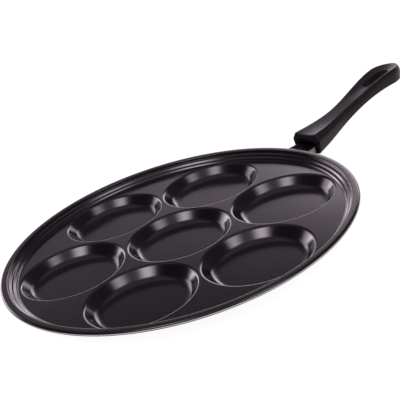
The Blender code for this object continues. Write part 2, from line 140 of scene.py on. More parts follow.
# Hanging slot: wide above, narrower below a step
SLOT_AT = 0.0803
SLOT_LENGTH = 0.0305
SLOT_WIDTH = 0.0087
SLOT_STEP = 0.0011
SLOT_STEP_DEPTH = 0.0055
SLOT_EDGE = 0.0007

# Mouth and pocket
MOUTH_MARGIN = 0.0008
MOUTH_ROOF_WIDTH = 0.0136
MOUTH_HEIGHT = 0.0104
MOUTH_DEPTH = 0.0012
POCKET_ROOF_WIDTH = 0.0122
POCKET_HEIGHT = 0.0077
POCKET_END_HEIGHT = 0.0064
POCKET_SPARE = 0.0020

# Screw, washer and nut
SCREW_AT = 0.0130
SCREW_DIAMETER = 0.0040
SCREW_HEAD_DIAMETER = 0.0076
SCREW_HEAD_HEIGHT = 0.0020
SCREW_SLOT_WIDTH = 0.0011
SCREW_SLOT_DEPTH = 0.0012
SCREW_TAIL = 0.0010
SCREW_HEAD_STRAIGHT = 0.45
SCREW_FACE_SHARE = 0.7
SCREW_TIP_ROUND = 0.00015
SCREW_SEAT_ROUND = 0.0002
SCREW_HEAD_ROUND = 0.0007
SCREW_FACE_ROUND = 0.001
WASHER_DIAMETER = 0.0090
WASHER_THICKNESS = 0.0008
WASHER_ROUND = 0.0002
WASHER_HOLE_ROUND = 0.0001
NUT_WIDTH = 0.0070
NUT_HEIGHT = 0.0022
SEAT_WALL = 0.0014

# Clearances
GAP = 0.0003
POCKET_FIT = 0.0003
HOLE_FIT = 0.0004

# Fineness
RIM_SIDES = 288
WELL_SIDES = 144
BEAD_STEPS = 16
CORNER_STEPS = 6
SMALL_CORNER_STEPS = 4
HANDLE_STEPS = 96
TIP_STEPS = 24
EDGE_STEPS = 8
SECTION_STEPS = 7
DISH_SHARES = (0.0, 0.15, 0.3, 0.45, 0.6, 0.72, 0.84)
ROUND_SIDES = 64
TINY = 1e-6

# Camera: a lens fitted to the photograph's outlines, in pixels of its own frame
FOCAL_PIXELS = 870.15
FRAME_PIXELS = 400
CAMERA_DISTANCE = 0.61657
CAMERA_ELEVATION = math.radians(22.98)
CAMERA_ROLL = math.radians(16.5)
CAMERA_AZIMUTH = math.radians(-90 - 36.1)
AIM_RIGHT = -22.78
AIM_UP = 27.29
AIM_HEIGHT = 0.0142
SENSOR_WIDTH = 36
CLIP_START = 0.01

# Floor
FLOOR_SIZE = 30
FLOOR_COLOUR = (0.18, 0.204, 0.18, 1.0)
FLOOR_GLOW = 0.95
MIRRORED_TINT = (1, 0.92, 0.84, 1)
# How far beyond the pan's edge the painted shadow under the pan fades out. Only reflections see this painted
# shadow.
PAINTED_SHADOW_RUN = 0.03

# Light: a dim room, a little lighter to the right of the picture, and soft boxes in it.
# Each soft box: azimuth, elevation, half width and half height in degrees, blur of its edge, strength.
# A box fades out where the cosine of the angle to its middle falls from BOX_FADE_END to BOX_FADE_START.
ROOM = 0.09
ROOM_SLANT = 0.04
LIGHT_COLOUR = (1.0, 0.88, 1.0, 1.0)
SOFT_BOXES = (
    (-152, 50, 10, 8, 0.14, 10.5),
    (134, 46, 10, 8, 0.14, 7.5),
    (180, 50, 16, 8, 0.2, 0.9),
    (0, 88, 35, 35, 0.3, 0.35),
    (-38, 14, 14, 11, 0.1, 3.1),
    (24, 17, 15, 6.5, 0.06, 3.2),
    (-24, 3, 36, 8, 0.08, 3.0),
    (12, 17, 14, 6.5, 0.14, 1.3),
    (-14, 21, 9, 5, 0.1, 0.35),
)
BOX_FADE_START = 0.02
BOX_FADE_END = 0.1

# Sizes that follow
WELL_RADIUS = WELL_DIAMETER / 2
WELL_RING_RADIUS = (WELL_DIAMETER + WELL_GAP) / (2 * math.sin(math.pi / OUTER_WELLS))
PLATE_TOP = SHEET + WELL_DEPTH
PLATE_RADIUS = WELL_RING_RADIUS + WELL_RADIUS + EDGE_LAND
FOOT_RADIUS = PLATE_RADIUS + FOOT_FILLET
BRIM_RADIUS = FOOT_RADIUS + 2 * (RISER_RUN + LEDGE_RUN) + BRIM_RUN
BRIM_TOP = PLATE_TOP + 2 * (RISER_RISE + LEDGE_RISE) + BRIM_RISE
BEAD_CENTRE_RADIUS = BRIM_RADIUS + BRIM_WIDTH
BEAD_CENTRE_Z = BRIM_TOP + BRIM_LIFT - BEAD_RADIUS
PAN_RADIUS = BEAD_CENTRE_RADIUS + BEAD_RADIUS
ARM_FLOOR = PLATE_TOP - SHEET - GAP - ARM_SHEET
ARM_BEND_X = PAN_RADIUS + ARM_REACH * ARM_BEND_SHARE
HANDLE_X = PAN_RADIUS + ARM_REACH
ARM_END_X = HANDLE_X + ARM_INSERT
TONGUE_X = PLATE_RADIUS - TONGUE_LENGTH
ARM_MOUTH_Z = ARM_FLOOR + (HANDLE_X - ARM_BEND_X) * math.tan(ARM_TILT)


# Materials


class Nodes:
    """A small helper for building a node tree."""

    def __init__(self, tree):
        self.tree = tree
        self.tree.nodes.clear()

    def add(self, kind, inputs=None, **settings):
        node = self.tree.nodes.new(kind)
        for name, value in settings.items():
            setattr(node, name, value)
        for name, value in (inputs or {}).items():
            socket = node.inputs[name]
            if isinstance(value, bpy.types.NodeSocket):
                self.tree.links.new(value, socket)
            else:
                socket.default_value = value
        return node

    def math(self, operation, first, second=None, clamp=False):
        node = self.add("ShaderNodeMath", {0: first}, operation=operation, use_clamp=clamp)
        if second is not None:
            if isinstance(second, bpy.types.NodeSocket):
                self.tree.links.new(second, node.inputs[1])
            else:
                node.inputs[1].default_value = second
        return node.outputs[0]

    def noise(self, scale, detail=3.0, roughness=0.5, stretch=(1, 1, 1)):
        place = self.add("ShaderNodeTexCoord").outputs["Object"]
        mapped = self.add("ShaderNodeMapping", {"Vector": place, "Scale": stretch}).outputs[0]
        inputs = {"Vector": mapped, "Scale": scale, "Detail": detail, "Roughness": roughness}
        return self.add("ShaderNodeTexNoise", inputs).outputs[0]

    def ramp(self, factor, dark, light, low=0.3, high=0.7):
        """A value or colour that runs between two ends as the factor runs from low to high."""
        node = self.add("ShaderNodeValToRGB", {0: factor})
        node.color_ramp.elements[0].position = low
        node.color_ramp.elements[1].position = high
        node.color_ramp.elements[0].color = dark
        node.color_ramp.elements[1].color = light
        return node.outputs[0]

    def bump(self, height, distance, strength=1.0, normal=None):
        inputs = {"Height": height, "Distance": distance, "Strength": strength}
        if normal is not None:
            inputs["Normal"] = normal
        return self.add("ShaderNodeBump", inputs).outputs[0]


def grey(value):
    return (value, value, value, 1.0)


def new_material(name):
    material = bpy.data.materials.new(name)
    material.use_nodes = True
    return material, Nodes(material.node_tree)


def finish_material(material, nodes, shader):
    output = nodes.add("ShaderNodeOutputMaterial")
    material.node_tree.links.new(shader, output.inputs["Surface"])
    return material


def coating_material():
    """Black non-stick coating with a fine grain on every face that looks up, bare sheet on the rest."""
    material, n = new_material("nonstick_coating")
    colour = n.ramp(n.noise(60, 4), (0.0052, 0.0034, 0.0055, 1), (0.0068, 0.0045, 0.0071, 1))
    rough = n.ramp(n.noise(240, 3), grey(0.15), grey(0.18))
    normal = n.bump(n.noise(1500, 2), 0.00001, 0.25)
    normal = n.bump(n.noise(200, 2), 0.00003, 0.2, normal)
    coat = n.add(
        "ShaderNodeBsdfPrincipled",
        {"Base Color": colour, "Roughness": rough, "Normal": normal, "IOR": 1.5},
    )
    bare_colour = n.ramp(n.noise(80, 4), (0.66, 0.65, 0.65, 1), (0.74, 0.73, 0.73, 1))
    bare_rough = n.ramp(n.noise(700, 3), grey(0.22), grey(0.30))
    sheet = n.add(
        "ShaderNodeBsdfPrincipled",
        {"Base Color": bare_colour, "Roughness": bare_rough, "Metallic": 0.9},
    )
    facing = n.add("ShaderNodeNewGeometry").outputs["Normal"]
    up = n.add("ShaderNodeSeparateXYZ", {0: facing}).outputs["Z"]
    coated = soft_step(n, up, COAT_FADE_START, COAT_FADE_END)
    shader = n.add("ShaderNodeMixShader", {0: coated, 1: sheet.outputs[0], 2: coat.outputs[0]})
    return finish_material(material, n, shader.outputs[0])


def resin_material():
    """Black moulded resin with a fine satin grain."""
    material, n = new_material("handle_resin")
    colour = n.ramp(n.noise(90, 4), (0.0185, 0.0153, 0.0172, 1), (0.0255, 0.0212, 0.0237, 1))
    rough = n.ramp(n.noise(500, 3), grey(0.30), grey(0.38))
    normal = n.bump(n.noise(3200, 2), 0.00003, 0.45)
    shader = n.add(
        "ShaderNodeBsdfPrincipled",
        {"Base Color": colour, "Roughness": rough, "Normal": normal, "IOR": 1.2},
    )
    return finish_material(material, n, shader.outputs[0])


def steel_material(name, colour, low, high, stretch):
    """Bare or plated steel, with fine lines from rolling or turning."""
    material, n = new_material(name)
    lines = n.noise(900, 4, 0.6, stretch)
    darker = [channel * STEEL_SHADE for channel in colour]
    tint = n.ramp(n.noise(150, 4), (*darker, 1), (*colour, 1))
    rough = n.ramp(lines, grey(low), grey(high))
    normal = n.bump(lines, 0.00002, 0.3)
    shader = n.add(
        "ShaderNodeBsdfPrincipled",
        {"Base Color": tint, "Roughness": rough, "Normal": normal, "Metallic": 1.0},
    )
    return finish_material(material, n, shader.outputs[0])


# Meshes


def make_object(name, bm, material=None, crease=35):
    """A smooth object, with its edges sharp beyond the crease angle in degrees."""
    mesh = bpy.data.meshes.new(name)
    bm.to_mesh(mesh)
    bm.free()
    mesh.shade_smooth()
    mesh.set_sharp_from_angle(angle=math.radians(crease))
    piece = bpy.data.objects.new(name, mesh)
    bpy.context.scene.collection.objects.link(piece)
    if material:
        mesh.materials.append(material)
    return piece


def apply_modifiers(piece, crease=35):
    """Turn the modifiers into plain mesh."""
    graph = bpy.context.evaluated_depsgraph_get()
    graph.update()
    baked = bpy.data.meshes.new_from_object(piece.evaluated_get(graph))
    piece.modifiers.clear()
    piece.data = baked
    baked.shade_smooth()
    baked.set_sharp_from_angle(angle=math.radians(crease))
    return piece


def cut(piece, cutter):
    """Take the cutter's body out of the piece, and drop the cutter."""
    modifier = piece.modifiers.new("cut", "BOOLEAN")
    modifier.operation = "DIFFERENCE"
    modifier.solver = "EXACT"
    modifier.object = cutter
    apply_modifiers(piece)
    bpy.data.objects.remove(cutter, do_unlink=True)


def softened(corners, steps):
    """Points along a line of (corner, setback) pairs, each corner rounded from its setback.

    A rounding takes half of a side at most where the next corner is rounded too.
    """
    points = []
    for index, (corner, setback) in enumerate(corners):
        if setback == 0:
            points.append(corner)
            continue
        ends = []
        for near, near_setback in (corners[index - 1], corners[index + 1]):
            most = 0.5 if near_setback else 1.0
            ends.append(corner.lerp(near, min(setback / max((near - corner).length, TINY), most)))
        start, end = ends
        for step in range(steps + 1):
            share = step / steps
            points.append(start.lerp(corner, share).lerp(corner.lerp(end, share), share))
    return points


def join_rings(bm, rings):
    """Faces between each ring of vertices and the next."""
    for near, far in zip(rings, rings[1:]):
        for i in range(len(near)):
            j = (i + 1) % len(near)
            bm.faces.new((near[i], near[j], far[j], far[i]))


def turn(bm, profile, centre, sides):
    """Turn a profile about the upright axis through a centre."""
    verts = [bm.verts.new(centre + point) for point in profile]
    edges = [bm.edges.new(pair) for pair in zip(verts, verts[1:])]
    bmesh.ops.spin(
        bm, geom=verts + edges, cent=centre, axis=(0, 0, 1), angle=2 * math.pi, steps=sides, use_merge=True
    )


def well_profile():
    """From the plate over a well's lip and down its wall to the middle of its floor."""
    floor_radius = WELL_RADIUS - WELL_LIP_SETBACK - WELL_WALL_RUN
    corners = [
        (Vector((WELL_RADIUS + FLAT_LAND, 0, PLATE_TOP)), 0),
        (Vector((WELL_RADIUS, 0, PLATE_TOP)), 0),
        (Vector((WELL_RADIUS - WELL_LIP_SETBACK, 0, PLATE_TOP)), WELL_LIP_SETBACK),
        (Vector((floor_radius, 0, SHEET)), WELL_FLOOR_SETBACK),
        (Vector((floor_radius - WELL_FLOOR_SETBACK - FLAT_LAND, 0, SHEET)), 0),
        (Vector((floor_radius / 2, 0, SHEET)), 0),
        (Vector((0, 0, SHEET)), 0),
    ]
    return softened(corners, CORNER_STEPS)


def bead_point(share):
    """A point on the bead's section, from its start at 0 to its end at 1."""
    angle = BEAD_START + (BEAD_END - BEAD_START) * share
    across = BEAD_CENTRE_RADIUS + BEAD_RADIUS * math.cos(angle)
    return Vector((across, 0, BEAD_CENTRE_Z + BEAD_RADIUS * math.sin(angle)))


def rim_profile():
    """From the plate up two risers and ledges, over the brim and round the bead."""
    corners = [
        (Vector((PLATE_RADIUS - FLAT_LAND, 0, PLATE_TOP)), 0),
        (Vector((PLATE_RADIUS, 0, PLATE_TOP)), 0),
        (Vector((FOOT_RADIUS, 0, PLATE_TOP)), FOOT_FILLET),
    ]
    corner = Vector((FOOT_RADIUS, 0, PLATE_TOP))
    for run, rise in ((RISER_RUN, RISER_RISE), (LEDGE_RUN, LEDGE_RISE)) * 2:
        corner = corner + Vector((run, 0, rise))
        corners.append((corner, LEDGE_SETBACK))
    corners.append((corner + Vector((BRIM_RUN, 0, BRIM_RISE)), BRIM_SETBACK))
    corners.append((bead_point(0), 0))
    bead = [bead_point(step / BEAD_STEPS) for step in range(1, BEAD_STEPS + 1)]
    return softened(corners, CORNER_STEPS) + bead


def well_centres():
    """The middle well's centre, then those of the ring round it."""
    centres = [Vector((0, 0, 0))]
    for index in range(OUTER_WELLS):
        angle = 2 * math.pi * (index + 0.5) / OUTER_WELLS
        centres.append(Vector((WELL_RING_RADIUS * math.cos(angle), WELL_RING_RADIUS * math.sin(angle), 0)))
    return centres


def build_pan(material):
    """The pressed sheet, with its wells, plate and curled rim."""
    bm = bmesh.new()
    for centre in well_centres():
        turn(bm, well_profile(), centre, WELL_SIDES)
    turn(bm, rim_profile(), Vector((0, 0, 0)), RIM_SIDES)
    bmesh.ops.remove_doubles(bm, verts=bm.verts, dist=TINY)
    open_edges = [edge for edge in bm.edges if edge.is_boundary]
    plate_edges = [edge for edge in open_edges if all(abs(v.co.z - PLATE_TOP) < TINY for v in edge.verts)]
    bmesh.ops.triangle_fill(bm, use_beauty=True, edges=plate_edges, normal=(0, 0, 1))
    bmesh.ops.recalc_face_normals(bm, faces=bm.faces)
    floor = min(bm.faces, key=lambda face: face.calc_center_median().length)
    if floor.normal.z < 0:
        bmesh.ops.reverse_faces(bm, faces=bm.faces)
    pan = make_object("pan", bm, material, crease=50)
    shell = pan.modifiers.new("sheet", "SOLIDIFY")
    shell.thickness = SHEET
    shell.offset = -1
    shell.use_even_offset = True
    return apply_modifiers(pan, crease=50)


def arm_stations():
    """Along the arm: distance out, half width, height of the underside, and height of the wall tops."""
    wall_start = ARM_WALL_START
    under_bead = ARM_LOW_WALL_TOP
    over_bead = ARM_FLOOR + ARM_WALL_HEIGHT
    rise = math.tan(ARM_TILT)
    end_floor = ARM_MOUTH_Z + ARM_INSERT * rise
    beside_bead = PAN_RADIUS + GAP
    wide = ARM_WIDTH / 2
    return [
        (TONGUE_X, wide, ARM_FLOOR, None),
        (wall_start, wide, ARM_FLOOR, None),
        (wall_start + under_bead - ARM_FLOOR, wide, ARM_FLOOR, under_bead),
        (beside_bead, wide, ARM_FLOOR, under_bead),
        (beside_bead + over_bead - under_bead, wide, ARM_FLOOR, over_bead),
        (ARM_BEND_X, wide, ARM_FLOOR, over_bead),
        (HANDLE_X, ARM_NECK_WIDTH / 2, ARM_MOUTH_Z, ARM_MOUTH_Z + ARM_END_WALL_HEIGHT),
        (ARM_END_X, ARM_END_WIDTH / 2, end_floor, end_floor + ARM_END_WALL_HEIGHT),
    ]


def build_bracket(material):
    """The pressed arm, with round folds and softly broken edges."""
    bm = bmesh.new()
    rows = []
    for out, half, floor, top in arm_stations():
        row = [bm.verts.new((out, side * half, floor)) for side in (-1, 1)]
        if top is not None:
            row += [bm.verts.new((out, side * half, top)) for side in (-1, 1)]
        rows.append(row)
    for near, far in zip(rows, rows[1:]):
        bm.faces.new((near[0], near[1], far[1], far[0]))
        for side in (0, 1):
            if len(near) == 4:
                bm.faces.new((near[side], far[side], far[side + 2], near[side + 2]))
            elif len(far) == 4:
                bm.faces.new((near[side], far[side], far[side + 2]))
    bmesh.ops.recalc_face_normals(bm, faces=bm.faces)
    tongue = min(bm.faces, key=lambda face: face.calc_center_median().x)
    if tongue.normal.z > 0:
        bmesh.ops.reverse_faces(bm, faces=bm.faces)
    arm = make_object("steel_arm", bm, material)
    fold = arm.modifiers.new("fold", "BEVEL")
    fold.width = ARM_FOLD_RADIUS
    fold.segments = 8
    fold.limit_method = "ANGLE"
    fold.angle_limit = math.radians(60)
    shell = arm.modifiers.new("sheet", "SOLIDIFY")
    shell.thickness = ARM_SHEET
    shell.offset = -1
    shell.use_even_offset = True
    apply_modifiers(arm)
    edge = arm.modifiers.new("edge", "BEVEL")
    edge.width = ARM_EDGE
    edge.segments = 3
    edge.limit_method = "ANGLE"
    edge.angle_limit = math.radians(50)
    apply_modifiers(arm, crease=60)
    cut(arm, screw_cutter(SCREW_DIAMETER / 2 + HOLE_FIT, -ARM_SHEET, ARM_SHEET * 2))
    return arm


def spline(knots, values):
    """A smooth curve through a few named sizes: a natural cubic spline."""
    at = np.array(knots)
    y = np.array(values)
    step = np.diff(at)
    slope = np.diff(y) / step
    count = len(at)
    matrix = np.eye(count)
    right = np.zeros(count)
    for i in range(1, count - 1):
        matrix[i, i - 1:i + 2] = (step[i - 1], 2 * (step[i - 1] + step[i]), step[i])
        right[i] = 6 * (slope[i] - slope[i - 1])
    bend = np.linalg.solve(matrix, right)

    def value(place):
        i = int(np.clip(np.searchsorted(at, place) - 1, 0, count - 2))
        left = place - at[i]
        return float(
            y[i]
            + left * (slope[i] - step[i] * (2 * bend[i] + bend[i + 1]) / 6)
            + left ** 2 * bend[i] / 2
            + left ** 3 * (bend[i + 1] - bend[i]) / (6 * step[i])
        )

    return value


HANDLE_KNOTS = (0.0, NECK_AT, WAIST_AT, GRIP_AT, PALM_AT, HANDLE_LENGTH)
handle_top = spline(HANDLE_KNOTS, (FRONT_TOP, NECK_TOP, WAIST_TOP, GRIP_TOP, PALM_TOP, TIP_TOP))
handle_thickness = spline(
    HANDLE_KNOTS,
    (FRONT_THICKNESS, NECK_THICKNESS, WAIST_THICKNESS, GRIP_THICKNESS, PALM_THICKNESS, TIP_THICKNESS),
)
handle_width = spline(HANDLE_KNOTS[:5], (FRONT_WIDTH, NECK_WIDTH, WAIST_WIDTH, GRIP_WIDTH, PALM_WIDTH))
handle_bulge = spline(HANDLE_KNOTS[:5], (FRONT_BULGE, NECK_BULGE, WAIST_BULGE, GRIP_BULGE, PALM_BULGE))
handle_drop = spline(HANDLE_KNOTS[:5], (FRONT_DROP, SIDE_DROP, SIDE_DROP, SIDE_DROP, SIDE_DROP))
handle_dish = spline(
    (0.0, GRIP_AT, (SLOT_AT + HANDLE_LENGTH) / 2, HANDLE_LENGTH), (FRONT_DISH, WAIST_DISH, PALM_DISH, 0.0)
)


def handle_corners(along, inset=0.0, close=0.0):
    """Right half of the handle's section, as corners from the top middle to the bottom middle."""
    bulge_shares = (0.0, 1.0, FOOT_SHARE)
    ends = (HANDLE_LENGTH - TIP_SPREAD, HANDLE_LENGTH, HANDLE_LENGTH - TIP_SPREAD / 2)
    turn_angle = close * math.pi / 2
    places = []
    for bulge_share, end in zip(bulge_shares, ends):
        out = along if close == 0 else PALM_AT + (end - PALM_AT) * math.sin(turn_angle)
        before_tip = min(out, PALM_AT)
        half = handle_width(before_tip) / 2 + handle_bulge(before_tip) * bulge_share
        places.append((out, max(half * math.cos(turn_angle) - inset, 0.0)))
    (top_out, top_half), (side_out, side_half), (foot_out, foot_half) = places
    top = handle_top(top_out) - inset
    dish = handle_dish(top_out) * math.cos(turn_angle)
    side_z = handle_top(side_out) - handle_drop(min(side_out, PALM_AT))
    foot = handle_top(foot_out) - handle_thickness(foot_out) + inset
    corners = []
    for share in DISH_SHARES:
        corners.append((Vector((top_out, -top_half * share, top - dish * (1 - share ** 2))), 0))
    corners.append((Vector((top_out, -top_half, top)), TOP_EDGE_SETBACK))
    corners.append((Vector((side_out, -side_half, side_z)), SIDE_SETBACK))
    corners.append((Vector((foot_out, -foot_half, foot)), FOOT_SETBACK))
    corners.append((Vector((foot_out, 0, foot)), 0))
    return corners


def handle_ring(corners):
    """The whole section from the corners of its right half, in place beyond the pan."""
    half = softened(corners, SECTION_STEPS)
    mirrored = [Vector((point.x, -point.y, point.z)) for point in reversed(half[1:-1])]
    shift = Vector((HANDLE_X, 0, 0))
    return [point + shift for point in half + mirrored]


def build_handle(material):
    """The moulded handle: a smooth loft, with its slot, mouth, pocket and screw seat cut out."""
    rings = []
    for step in range(EDGE_STEPS):
        angle = math.pi / 2 * step / EDGE_STEPS
        along = FRONT_EDGE * (1 - math.cos(angle))
        rings.append(handle_ring(handle_corners(along, inset=FRONT_EDGE * (1 - math.sin(angle)))))
    for step in range(HANDLE_STEPS + 1):
        rings.append(handle_ring(handle_corners(FRONT_EDGE + (PALM_AT - FRONT_EDGE) * step / HANDLE_STEPS)))
    for step in range(1, TIP_STEPS + 1):
        rings.append(handle_ring(handle_corners(PALM_AT, close=step / TIP_STEPS)))
    bm = bmesh.new()
    rows = [[bm.verts.new(point) for point in ring] for ring in rings]
    join_rings(bm, rows)
    bm.faces.new(rows[0])
    bmesh.ops.remove_doubles(bm, verts=bm.verts, dist=10 * TINY)
    bmesh.ops.dissolve_degenerate(bm, edges=bm.edges, dist=TINY)
    bmesh.ops.recalc_face_normals(bm, faces=bm.faces)
    handle = make_object("handle_grip", bm, material)
    cut(handle, slot_edge_cutter())
    cut(handle, slot_cutter(SLOT_STEP_DEPTH, 0.0))
    cut(handle, slot_cutter(HANDLE_LENGTH, SLOT_STEP))
    cut(handle, mouth_cutter())
    cut(handle, pocket_cutter())
    cut(handle, screw_cutter(SCREW_DIAMETER / 2 + HOLE_FIT, -SEAT_WALL * 4, SEAT_WALL * 4))
    cut(handle, screw_cutter(WASHER_DIAMETER / 2 + HOLE_FIT, -HANDLE_LENGTH / 4, -SEAT_WALL))
    return handle


def slot_outline(radius):
    """Points round the slot, as distances along the handle and across it."""
    points = []
    for end, start in ((SLOT_AT + SLOT_LENGTH - SLOT_WIDTH / 2, -90), (SLOT_AT + SLOT_WIDTH / 2, 90)):
        for step in range(ROUND_SIDES // 2 + 1):
            angle = math.radians(start + 360 * step / ROUND_SIDES)
            points.append((end + radius * math.cos(angle), radius * math.sin(angle)))
    return points


def slot_cutter(depth, inset):
    """The slot's straight walls, from a depth below the handle's top upwards."""
    middle = SLOT_AT + SLOT_LENGTH / 2
    floor = handle_top(middle) - handle_dish(middle) - depth
    ceiling = PALM_TOP + SLOT_WIDTH
    bm = bmesh.new()
    outline = slot_outline(SLOT_WIDTH / 2 - inset)
    base = bm.faces.new([bm.verts.new((HANDLE_X + out, across, floor)) for out, across in outline])
    lifted = bmesh.ops.extrude_face_region(bm, geom=[base])["geom"]
    lifted_verts = [item for item in lifted if isinstance(item, bmesh.types.BMVert)]
    bmesh.ops.translate(bm, verts=lifted_verts, vec=(0, 0, ceiling - floor))
    bmesh.ops.recalc_face_normals(bm, faces=bm.faces)
    return make_object("slot_cutter", bm)


def slot_edge_cutter():
    """The rounded edge round the top of the slot, which follows the dished top of the handle.

    The last ring lifts the cutter clear of that top.
    """
    bm = bmesh.new()
    rings = []
    for step in range(EDGE_STEPS // 2 + 2):
        angle = math.pi / 2 * min(step / (EDGE_STEPS // 2), 1.0)
        radius = SLOT_WIDTH / 2 + SLOT_EDGE * (1 - math.cos(angle))
        lift = SLOT_EDGE * (math.sin(angle) - 1) if step <= EDGE_STEPS // 2 else SLOT_WIDTH
        ring = []
        for out, across in slot_outline(radius):
            share = across / (handle_width(min(out, PALM_AT)) / 2)
            surface = handle_top(out) - handle_dish(out) * (1 - share ** 2)
            ring.append(bm.verts.new((HANDLE_X + out, across, surface + lift)))
        rings.append(ring)
    join_rings(bm, rings)
    bm.faces.new(rings[0])
    bm.faces.new(rings[-1])
    bmesh.ops.recalc_face_normals(bm, faces=bm.faces)
    return make_object("slot_edge_cutter", bm)


def mouth_frame():
    """Frame at the handle's mouth, level, with z = 0 on the arm's underside."""
    return Matrix.Translation((HANDLE_X, 0, ARM_MOUTH_Z))


def arm_frame():
    """The same frame, tilted so that x runs along the arm."""
    return mouth_frame() @ Matrix.Rotation(-ARM_TILT, 4, "Y")


def house_prism(place, near, far):
    """A prism between two house-shaped sections, each (x, half width, eaves, roof half width, roof)."""
    bm = bmesh.new()
    rings = []
    for x, half, eaves, roof_half, roof in (near, far):
        right = [(half, -POCKET_FIT), (half, eaves), (roof_half, roof)]
        left = [(-across, up) for across, up in reversed(right)]
        rings.append([bm.verts.new((x, across, up)) for across, up in right + left])
    join_rings(bm, rings)
    bm.faces.new(rings[0])
    bm.faces.new(rings[1])
    bmesh.ops.recalc_face_normals(bm, faces=bm.faces)
    bmesh.ops.transform(bm, matrix=place, verts=bm.verts)
    return make_object("prism_cutter", bm)


def mouth_cutter():
    """The shallow recess round the handle's mouth."""
    half = ARM_NECK_WIDTH / 2 + POCKET_FIT + MOUTH_MARGIN
    section = (half, ARM_END_WALL_HEIGHT + POCKET_FIT + MOUTH_MARGIN, MOUTH_ROOF_WIDTH / 2, MOUTH_HEIGHT)
    return house_prism(mouth_frame(), (-half, *section), (MOUTH_DEPTH, *section))


def pocket_cutter():
    """The tapered pocket that takes the arm and the nut."""
    length = ARM_INSERT / math.cos(ARM_TILT)
    taper = (ARM_NECK_WIDTH - ARM_END_WIDTH) / 2 / length
    drop = (POCKET_HEIGHT - POCKET_END_HEIGHT) / length
    half = ARM_NECK_WIDTH / 2 + POCKET_FIT
    roof_half = POCKET_ROOF_WIDTH / 2
    eaves = ARM_END_WALL_HEIGHT + POCKET_FIT
    ends = []
    for x in (-POCKET_SPARE, length + POCKET_SPARE):
        ends.append((x, half - taper * x, eaves, roof_half - taper * x, POCKET_HEIGHT - drop * x))
    return house_prism(arm_frame(), *ends)


def screw_frame():
    """Frame of the screw, with z along it and z = 0 on the underside of the arm."""
    return arm_frame() @ Matrix.Translation((SCREW_AT, 0, 0))


def screw_cutter(radius, bottom, top):
    """A cylinder round the screw's axis, between two heights."""
    bm = bmesh.new()
    matrix = screw_frame() @ Matrix.Translation((0, 0, (bottom + top) / 2))
    sizes = {"radius1": radius, "radius2": radius, "depth": top - bottom}
    bmesh.ops.create_cone(bm, cap_ends=True, segments=ROUND_SIDES, matrix=matrix, **sizes)
    return make_object("screw_cutter", bm)


def turned_on_screw(name, profile, material):
    """A solid turned about the screw's axis from (radius, height, rounding) corners."""
    corners = [(Vector((radius, 0, height)), rounding) for radius, height, rounding in profile]
    line = softened(corners, SMALL_CORNER_STEPS)
    bm = bmesh.new()
    turn(bm, line, Vector((0, 0, 0)), ROUND_SIDES)
    bmesh.ops.remove_doubles(bm, verts=bm.verts, dist=2 * TINY)
    bmesh.ops.recalc_face_normals(bm, faces=bm.faces)
    bmesh.ops.transform(bm, matrix=screw_frame(), verts=bm.verts)
    return make_object(name, bm, material)


def screw_seat():
    """Height of the washer's top in the screw's frame."""
    return -SEAT_WALL - GAP


def build_screw(material):
    """The pan-head screw, with its driver slot."""
    seat = screw_seat() - WASHER_THICKNESS - GAP
    shank = SCREW_DIAMETER / 2
    head = SCREW_HEAD_DIAMETER / 2
    tail = ARM_SHEET + GAP + NUT_HEIGHT + SCREW_TAIL
    chamfer = shank / 4
    low = seat - SCREW_HEAD_HEIGHT
    profile = [
        (0, tail, 0),
        (shank - chamfer, tail, SCREW_TIP_ROUND),
        (shank, tail - chamfer, SCREW_TIP_ROUND),
        (shank, seat, 0),
        (head, seat, SCREW_SEAT_ROUND),
        (head, seat - SCREW_HEAD_HEIGHT * SCREW_HEAD_STRAIGHT, SCREW_HEAD_ROUND),
        (head * SCREW_FACE_SHARE, low, SCREW_FACE_ROUND),
        (0, low, 0),
    ]
    screw = turned_on_screw("screw", profile, material)
    bm = bmesh.new()
    bmesh.ops.create_cube(bm, size=1)
    size = Vector((SCREW_HEAD_DIAMETER * 2, SCREW_SLOT_WIDTH, SCREW_SLOT_DEPTH * 2))
    bmesh.ops.scale(bm, vec=size, verts=bm.verts)
    bmesh.ops.translate(bm, vec=(0, 0, low), verts=bm.verts)
    bmesh.ops.transform(bm, matrix=screw_frame(), verts=bm.verts)
    cut(screw, make_object("driver_slot", bm))
    return screw


def build_washer(material):
    """The flat washer under the screw's head."""
    top = screw_seat()
    inner = SCREW_DIAMETER / 2 + HOLE_FIT
    outer = WASHER_DIAMETER / 2
    bottom = top - WASHER_THICKNESS
    middle = (inner + outer) / 2
    profile = [
        (middle, top, 0),
        (outer, top, WASHER_ROUND),
        (outer, bottom, WASHER_ROUND),
        (inner, bottom, WASHER_HOLE_ROUND),
        (inner, top, WASHER_HOLE_ROUND),
        (middle, top, 0),
    ]
    return turned_on_screw("washer", profile, material)


def build_nut(material):
    """The square weld nut on the floor of the arm."""
    bm = bmesh.new()
    bmesh.ops.create_cube(bm, size=1)
    bmesh.ops.scale(bm, vec=(NUT_WIDTH, NUT_WIDTH, NUT_HEIGHT), verts=bm.verts)
    bmesh.ops.translate(bm, vec=(0, 0, ARM_SHEET + GAP + NUT_HEIGHT / 2), verts=bm.verts)
    bmesh.ops.bevel(bm, geom=list(bm.edges), offset=NUT_WIDTH / 20, segments=4, affect="EDGES", profile=0.5)
    bmesh.ops.transform(bm, matrix=screw_frame(), verts=bm.verts)
    nut = make_object("weld_nut", bm, material)
    cut(nut, screw_cutter(SCREW_DIAMETER / 2 + GAP, 0, NUT_HEIGHT * 3))
    return nut


# Floor, light and camera


